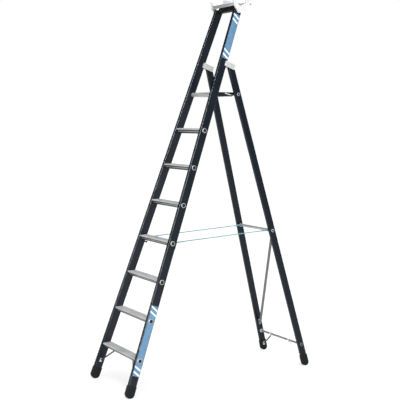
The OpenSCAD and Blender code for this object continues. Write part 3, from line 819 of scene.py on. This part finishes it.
def cup(name, radius, depth, rim, sunk, flange=0, flange_depth=0.8 * mm):
    """A short cylinder along +Z, its front at z = 0 pressed in, with a flange behind the front."""
    bpy.ops.object.select_all(action="DESELECT")
    bpy.ops.mesh.primitive_cylinder_add(vertices=40, radius=radius, depth=depth,
        location=(0, 0, -depth / 2))
    made = bpy.context.object
    made.name = name
    bpy.ops.object.transform_apply(location=True, rotation=True, scale=True)
    if flange:
        open_up(made)
        bpy.ops.mesh.select_all(action="SELECT")
        bpy.ops.mesh.bisect(plane_co=(0, 0, -flange_depth), plane_no=(0, 0, 1))
        close()
        pick_faces(made, lambda centre, normal: abs(normal.z) < 0.1 and centre.z > -flange_depth)
        open_up(made)
        bpy.ops.mesh.extrude_region_shrink_fatten(TRANSFORM_OT_shrink_fatten={"value": flange})
        bpy.ops.mesh.select_all(action="SELECT")
        bpy.ops.mesh.normals_make_consistent(inside=False)
        close()
    pick_faces(made, lambda centre, normal: normal.z > 0.99)
    open_up(made)
    bpy.ops.mesh.inset(thickness=rim, depth=0)
    bpy.ops.mesh.inset(thickness=0.2 * mm, depth=-sunk)
    close()
    soften(made, 0.3 * mm)
    return made


def ring_face(node, axes, sign):
    """Centre of the outer face of a ring, and the direction that it faces."""
    outward = axes.to_3x3() @ Vector((sign, 0, 0))
    points = np.array([v.co for v in nodes[node].data.vertices])
    reach = points @ np.array(outward)
    rim = points[reach > reach.max() - 0.05 * mm]
    return Vector((rim.min(0) + rim.max(0)) / 2), outward


def set_at(pattern, name, place, outward):
    piece = bpy.data.objects.new(name, pattern.data.copy())
    bpy.context.scene.collection.objects.link(piece)
    turn = outward.to_track_quat("Z", "Y").to_matrix().to_4x4()
    piece.data.transform(Matrix.Translation(place) @ turn)
    return piece


tread_plug = cup("tread_plug_pattern", radius=8.95 * mm, depth=8 * mm, rim=4.4 * mm, sunk=3 * mm,
    flange=3.4 * mm)
bar_plug = cup("bar_plug_pattern", radius=4.95 * mm, depth=6 * mm, rim=2.8 * mm, sunk=2 * mm,
    flange=2.0 * mm)
collar_length = 5 * mm
collar = cup("collar_pattern", radius=13 * mm, depth=collar_length, rim=2 * mm, sunk=0.6 * mm)
plug_proud = 0.8 * mm
leg_thickness = 25 * mm
ring_height = 2.5 * mm
bars = ("platform_support_tube", "upper_rear_bar", "lower_rear_bar")
for side, sign in sides.items():
    for node in [name for name in nodes if name.startswith("tread_")]:
        place, outward = ring_face(node, front_axes[side], sign)
        plug = set_at(tread_plug, f"{node}_plug_{side}", place + outward * plug_proud, outward)
        belongs_to(plug, node, black_plastic)
    for node in bars:
        place, outward = ring_face(node, rear_axes[side], sign)
        plug = set_at(bar_plug, f"{node}_plug_{side}", place + outward * plug_proud, outward)
        belongs_to(plug, node, black_plastic)
        inner = place - outward * (leg_thickness + ring_height + collar_length)
        ring = set_at(collar, f"{node}_collar_{side}", inner, -outward)
        belongs_to(ring, node, bright_zinc)
for pattern in (tread_plug, bar_plug, collar):
    bpy.data.objects.remove(pattern)
print("plugs and collars set")

# %% [markdown]
# ## Platform lever
# A flat lever on each side of the platform lets the support tube go. It is a thin tapered
# strip. A plane is stretched edge by edge along its length and thickened with Solidify, its
# points move out onto the slanted side of the platform, and its rim is rounded.

# %% Platform lever
lever_thickness = 2.0 * mm
lever_line = [(98, 1993.5, 7), (112, 1990.5, 9), (130, 1986, 8), (148, 1982, 6), (162, 1979.5, 4)]
for side, sign in sides.items():
    node = "platform_side_" + side
    low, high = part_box(node)
    outline = [Vector((0, y * mm, z * mm + width * mm / 2 * end)) for y, z, width in lever_line
        for end in (-1, 1)]
    bpy.ops.object.select_all(action="DESELECT")
    bpy.ops.mesh.primitive_plane_add(size=1)
    lever = bpy.context.object
    lever.name = "platform_lever_" + side
    for vertex, point in zip(lever.data.vertices, outline[:4]):
        vertex.co = point
    for step in range(2, len(lever_line)):
        far_y = lever_line[step - 1][0] * mm
        pick_none(lever.data)
        at_end = [abs(vertex.co.y - far_y) < 0.01 * mm for vertex in lever.data.vertices]
        for edge in lever.data.edges:
            edge.select = all(at_end[v] for v in edge.vertices)
        open_up(lever, "EDGE")
        bpy.ops.mesh.extrude_region_move()
        close()
        fresh = sorted(lever.data.vertices[-2:], key=lambda v: v.co.z)
        fresh[0].co, fresh[1].co = outline[2 * step], outline[2 * step + 1]
    points = np.array([v.co for v in nodes[node].data.vertices])
    front_x = np.abs(points[points[:, 1] < low[1] + 0.1 * mm][:, 0]).max()
    rear_x = np.abs(points[points[:, 1] > high[1] - 0.1 * mm][:, 0]).max()
    apply(lever, "SOLIDIFY", thickness=lever_thickness, offset=0)
    for vertex in lever.data.vertices:
        share = (vertex.co.y - low[1]) / (high[1] - low[1])
        vertex.co.x += sign * (front_x + (rear_x - front_x) * share + lever_thickness / 2)
    open_up(lever)
    bpy.ops.mesh.select_all(action="SELECT")
    bpy.ops.mesh.normals_make_consistent(inside=False)
    close()
    soften(lever, 0.4 * mm)
    belongs_to(lever, node, bright_zinc)
print("levers set, thickness", lever_thickness)

# %% [markdown]
# ## Straps
# Two webbing straps keep the legs from sliding apart. Each one is looped round a pin on the
# stile and round the upper rear bar, and each tail lies back under the run. The strap is
# drawn as a hand would lay it: one short edge, as wide as the webbing, is extruded from point
# to point along tail, loop, run, loop and tail, and Solidify gives the cloth its thickness.
# When the legs close, the strap goes slack.

# %% Straps
web_thickness = 1.6 * mm
web_width = 25 * mm
web_from_middle = 176 * mm
anchor_pin_radius = 2.5 * mm
pin_gap = 0.4 * mm
anchor_loop = 3.7 * mm
bar_loop = 11.2 * mm
anchor_mouth = 16 * mm
bar_mouth = 28 * mm
tail_length = 60 * mm
tail_step = 14.5 * mm
tail_points = 4
layer_gap = 0.9 * mm
arc_steps = 12
run_steps = 40


def loop_points(centre, forward, up, radius, backwards):
    """Points round a loop whose mouth opens forward, from the upper side to the lower one."""
    mouth = math.radians(50)
    steps = [mouth + (2 * math.pi - 2 * mouth) * k / arc_steps for k in range(arc_steps + 1)]
    if backwards:
        steps.reverse()
    return [centre + (forward * math.cos(a) + up * math.sin(a)) * radius for a in steps]


def strap_path(anchor, bar, anchor_radius, bar_radius):
    along = (bar - anchor).normalized()
    up = Vector((0, -along.z, along.y))
    lift = up * layer_gap
    near, away = anchor + along * anchor_mouth, bar - along * bar_mouth
    points = [anchor + along * (tail_length - k * tail_step) - lift for k in range(tail_points)]
    points += loop_points(anchor, along, up, anchor_radius, True)
    points += [near + lift + (away - near) * k / run_steps for k in range(run_steps + 1)]
    points += loop_points(bar, -along, up, bar_radius, False)
    points += [away - along * k * tail_step - lift for k in range(tail_points)]
    return points


for side, sign in sides.items():
    node = "strap_" + side
    low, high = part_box(node)
    anchor_outer = anchor_pin_radius + pin_gap + web_thickness
    anchor = Vector((0, low[1] + anchor_outer, low[2] + anchor_outer))
    bar_low, bar_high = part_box("upper_rear_bar")
    bar = Vector((0, (bar_low[1] + bar_high[1]) / 2, (bar_low[2] + bar_high[2]) / 2))
    path = strap_path(anchor, bar, anchor_loop, bar_loop)
    bpy.ops.object.select_all(action="DESELECT")
    bpy.ops.mesh.primitive_plane_add(size=web_width, location=(0, 0, 0))
    strap = bpy.context.object
    strap.name = node + "_webbing"
    pick_none(strap.data)
    for vertex in strap.data.vertices:
        vertex.select = vertex.co.y > 0
    open_up(strap, "VERT")
    bpy.ops.mesh.delete(type="VERT")
    bpy.ops.mesh.select_all(action="SELECT")
    # the edge left of the plane lies half a width behind it, so that is taken off here
    start = path[0] + Vector((sign * web_from_middle, web_width / 2, 0))
    bpy.ops.transform.translate(value=start)
    for before, after in zip(path, path[1:]):
        bpy.ops.mesh.extrude_region_move(TRANSFORM_OT_translate={"value": after - before})
    close()
    lengths = [0]
    for before, after in zip(path, path[1:]):
        lengths.append(lengths[-1] + (after - before).length)
    flat = strap.data.uv_layers.new(name="cloth")
    rows = np.array([[p.y, p.z] for p in path])
    for loop in strap.data.loops:
        point = strap.data.vertices[loop.vertex_index].co
        row = int(np.argmin(((rows - (point.y, point.z)) ** 2).sum(1)))
        flat.data[loop.index].uv = (point.x - sign * web_from_middle, lengths[row])
    apply(strap, "SOLIDIFY", thickness=web_thickness, offset=0)
    bpy.ops.object.shade_smooth_by_angle(angle=sharp)
    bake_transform(strap)
    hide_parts(node)
    finish(strap, webbing)
print("webbing in each strap:", round(lengths[-1], 3), "m")

# %% [markdown]
# ## Floor
# One pale sheet, large enough that its far edge is lost in the white behind it. It glows a
# little of its own, as a back-lit sheet does, which keeps the shadows at the feet faint.

# %% Floor
bpy.ops.object.select_all(action="DESELECT")
floor_radius = 40
bpy.ops.mesh.primitive_circle_add(vertices=96, radius=floor_radius, fill_type="NGON")
floor = bpy.context.object
floor.name = "studio_floor"
floor_glow = 0.5
floor_paint, floor_tree, floor_shader = surface("floor_paint", (0.5, 0.5, 0.5), 0.9, specular=0.1)
floor_shader.inputs["Emission Color"].default_value = (1, 1, 1, 1)
floor_shader.inputs["Emission Strength"].default_value = floor_glow
floor_cloud = noise(floor_tree, turned(floor_tree), 3, 3)
floor_tint = shades(floor_tree, floor_cloud, "Fac",
    [(0.3, (0.495, 0.495, 0.495)), (0.7, (0.505, 0.505, 0.505))])
wire(floor_tree, floor_tint, "Color", floor_shader, "Base Color")
finish(floor, floor_paint)
